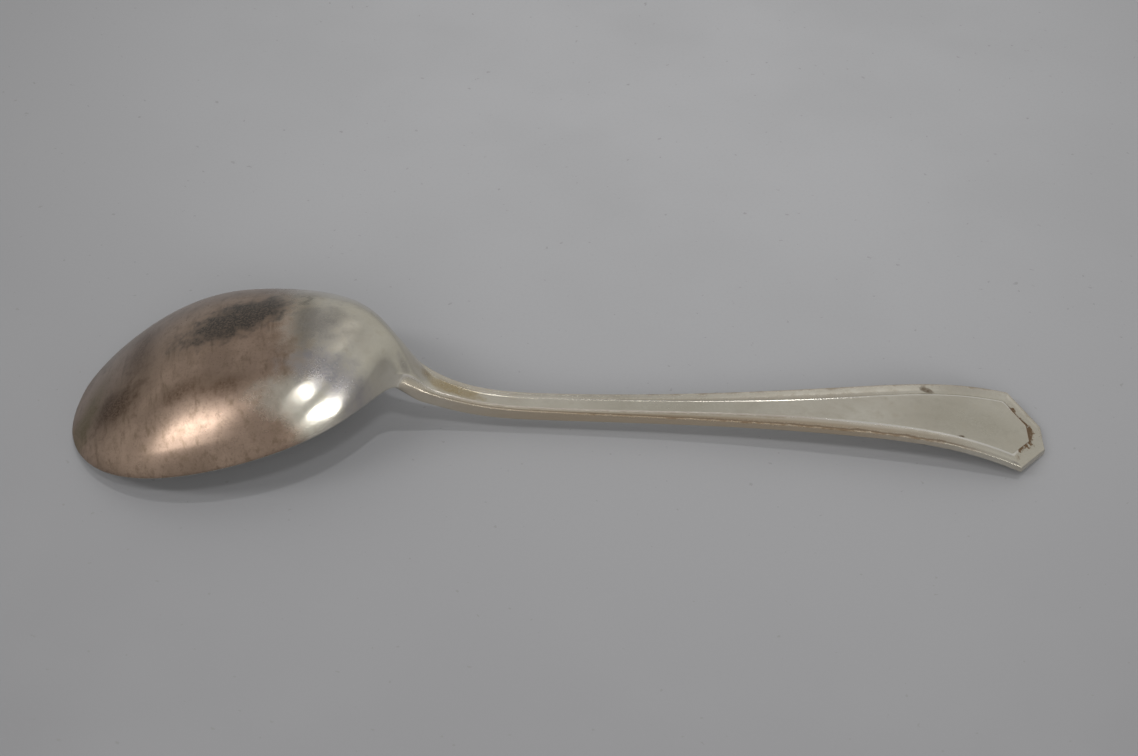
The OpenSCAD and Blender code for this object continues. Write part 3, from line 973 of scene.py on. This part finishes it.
# A painted shade on either side of the spoon, deeper towards the near side, which ends some way from the
# spoon
SHADED_TOP = (0.09, 0.089, 0.09, 1)
SHADE_ASIDE = (40, 190)
SHADE_NEAR = (-15, -120)
SHADE_DEPTHS = (0.2, 0.5)
SHADE_REACH = (420, 180)
# Noises and layers of colour on the top, told in the same way as the metal's
TOP_NOISES = {
    "cloud": (0.02, 3, 0.55),
    "grain": (1.6, 5, 0.55),
    "speck": (0.55, 2, 0.55),
}
TOP_LAYERS = [
    ("cloud", 0.35, 0.7, 0.25, (0.28, 0.28, 0.285, 1)),
    ("grain", 0.5, 0.9, 0.3, (0.27, 0.27, 0.275, 1)),
    ("speck", 0.71, 0.74, 0.5, (0.2, 0.195, 0.19, 1)),
]
TOP_ROUGHNESS = (0.6, 0.8)
TOP_RELIEF_STRENGTH = 0.1
TOP_RELIEF_DEPTH = 0.1
# Distance at which the top goes over into the room's backdrop
BACKDROP_REACH = (220, 450)


def top_colour(g, place, noises):
    """Pale grey in a painted pool of light, with a painted shade on either side of the spoon, and specks.
    """
    x, y, _ = g.axes(place)
    # Painted shade on either side of the spoon, deeper towards the near side
    aside = g.step(g.math("ABSOLUTE", x), *SHADE_ASIDE)
    near = g.scale(g.step(y, *SHADE_NEAR), *SHADE_DEPTHS)
    shade = g.times(aside, near, g.step(g.measure("LENGTH", place), *SHADE_REACH))
    # Painted pool of light: palest round one place, greyer away from it
    away = g.measure("DISTANCE", place, LIGHT_POOL_CENTRE)
    plain = g.mix(g.step(away, *LIGHT_POOL_REACH), PALE_TOP, GREY_TOP)
    return g.layered(g.mix(shade, plain, SHADED_TOP), noises, TOP_LAYERS)


def top_material():
    """Matt pale grey top with a faint grain and a few specks."""
    material = bpy.data.materials.new("pale_top")
    g = Graph(material)
    place = g.place()
    noises = {name: g.noise(place, *how) for name, how in TOP_NOISES.items()}
    grain = noises["grain"]
    fine_relief = {"Height": grain, "Strength": TOP_RELIEF_STRENGTH, "Distance": TOP_RELIEF_DEPTH * MM}
    bump = g.add("ShaderNodeBump", fine_relief)
    surface = g.add("ShaderNodeBsdfPrincipled", {
        "Base Color": top_colour(g, place, noises),
        "Roughness": g.scale(grain, *TOP_ROUGHNESS),
        "Normal": bump.outputs[0],
    })
    # Far from the spoon, beyond the light of the lamps, the top shows as pale as the room behind it
    path = g.add("ShaderNodeLightPath").outputs
    shown = g.math("MAXIMUM", path["Is Camera Ray"], path["Is Glossy Ray"])
    share = g.times(g.step(g.measure("LENGTH", place), *BACKDROP_REACH), shown)
    backdrop = g.add("ShaderNodeEmission", {"Color": HORIZON, "Strength": 1.0})
    blend = g.add("ShaderNodeMixShader", {0: share, 1: surface.outputs[0], 2: backdrop.outputs[0]})
    g.show("ShaderNodeOutputMaterial", blend)
    return material


def build_floor():
    mesh = bpy.data.meshes.new("table_top")
    reach = TOP_REACH * MM
    corners = [(-reach, -reach, 0), (reach, -reach, 0), (reach, reach, 0), (-reach, reach, 0)]
    mesh.from_pydata(corners, [], [(0, 1, 2, 3)])
    floor = bpy.data.objects.new("table_top", mesh)
    bpy.context.scene.collection.objects.link(floor)
    mesh.materials.append(top_material())


# Lamps: the direction they shine from, distance, size, power in watts, and what else a lamp needs. The
# first three light matt surfaces alone, the next two show in the metal alone, and the last two do both.
LAMPS = [
    dict(name="key", direction=(0.146, -0.51, 0.848), distance=1100, size=(100, 100), power=1.8,
         glossy=False),
    dict(name="overhead", direction=(0.2, -0.17, 1.0), distance=1100, size=(50, 50), power=1.95,
         glossy=False),
    dict(name="front_fill", direction=(0.0, -0.85, 0.55), distance=1200, size=(900, 500), power=4.0,
         glossy=False),
    dict(name="key_glint", direction=(0.17, -0.59, 0.79), distance=1100, size=(420, 40), power=0.4,
         along=(-0.74, 0.45, 0.51), diffuse=False),
    dict(name="overhead_glint", direction=(0.2, -0.17, 1.0), distance=1100, size=(12, 12), power=0.035,
         diffuse=False),
    dict(name="low_softbox", direction=(0.66, -0.7, 0.29), distance=700, size=(85, 440), power=0.68,
         along=(0.46, 0.61, 0.65), aim=(-45, 0, 15)),
    dict(name="left_window", direction=(-0.6, -0.37, 0.7), distance=1000, size=(720, 140), power=2.35,
         along=(-0.57, 0.27, -0.3), aim=(-60, 0, 15)),
]


def lamp(name, direction, distance, size, power,
         along=(1, 0, 0), aim=(-20, 0, 10), glossy=True, diffuse=True):
    """Area lamp that shines on a place from a direction, with its first side along another one. It may be
    hidden from reflections in the metal, or from matt surfaces."""
    data = bpy.data.lights.new(name, "AREA")
    data.shape = "ELLIPSE"
    data.size, data.size_y = (side * MM for side in size)
    data.energy = power
    light = bpy.data.objects.new(name, data)
    towards = Vector(direction).normalized()
    side = (Vector(along) - towards * towards.dot(Vector(along))).normalized()
    turn = Matrix((side, towards.cross(side), towards)).transposed().to_4x4()
    light.matrix_world = Matrix.Translation((Vector(aim) + towards * distance) * MM) @ turn
    light.visible_glossy = glossy
    light.visible_diffuse = diffuse
    bpy.context.scene.collection.objects.link(light)


def build_lamps():
    for settings in LAMPS:
        lamp(**settings)


def build_room():
    world = bpy.data.worlds.new("room")
    bpy.context.scene.world = world
    g = Graph(world)
    direction = g.add("ShaderNodeTexCoord").outputs["Generated"]
    ramp = g.add("ShaderNodeValToRGB", {"Fac": g.axes(direction)[2]})
    stops = ramp.color_ramp.elements
    for height, _ in ROOM[1:-1]:
        stops.new(height)
    for stop, (height, colour) in zip(stops, ROOM):
        stop.position = height
        stop.color = colour
    room = ramp.outputs[0]
    for centre, colour in CEILING_GLOWS:
        away = g.measure("DISTANCE", direction, centre)
        room = g.mix(g.step(away, *GLOW_REACH), room, colour)
    glossy = g.add("ShaderNodeLightPath").outputs["Is Glossy Ray"]
    strength = g.scale(glossy, *ROOM_STRENGTHS)
    background = g.add("ShaderNodeBackground", {"Color": room, "Strength": strength})
    g.show("ShaderNodeOutputWorld", background)


# Camera: the viewpoint fitted to the photograph
CAMERA_PLACE = (8.42, -280.30, 252.70)
CAMERA_PITCH = 40.622
CAMERA_YAW = 1.286
CAMERA_ROLL = 1.019
LENS = 64.085
SENSOR = 36.0


def build_camera():
    pitch, yaw, roll = (math.radians(angle) for angle in (CAMERA_PITCH, CAMERA_YAW, CAMERA_ROLL))
    back = Vector((math.sin(yaw) * math.cos(pitch), -math.cos(yaw) * math.cos(pitch), math.sin(pitch)))
    right = Vector((math.cos(yaw), math.sin(yaw), 0))
    up = back.cross(right)
    rolled_right = right * math.cos(roll) + up * math.sin(roll)
    rolled_up = up * math.cos(roll) - right * math.sin(roll)
    data = bpy.data.cameras.new("camera")
    data.lens = LENS
    data.sensor_width = SENSOR
    data.sensor_fit = "HORIZONTAL"
    camera = bpy.data.objects.new("camera", data)
    turn = Matrix((rolled_right, rolled_up, back)).transposed().to_4x4()
    camera.matrix_world = Matrix.Translation(Vector(CAMERA_PLACE) * MM) @ turn
    bpy.context.scene.collection.objects.link(camera)
    bpy.context.scene.camera = camera


blank, plate = build_spoon()
blank.data.materials.append(worn_metal("base_metal"))
plate.data.materials.append(worn_metal("silver"))
for piece, node, slot in ((blank, "base_metal_blank", "base_metal"), (plate, "silver_plate", "silver")):
    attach(piece, "root")
    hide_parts(node)

build_floor()
build_lamps()
build_room()
build_camera()
bpy.context.scene.view_settings.view_transform = "Standard"
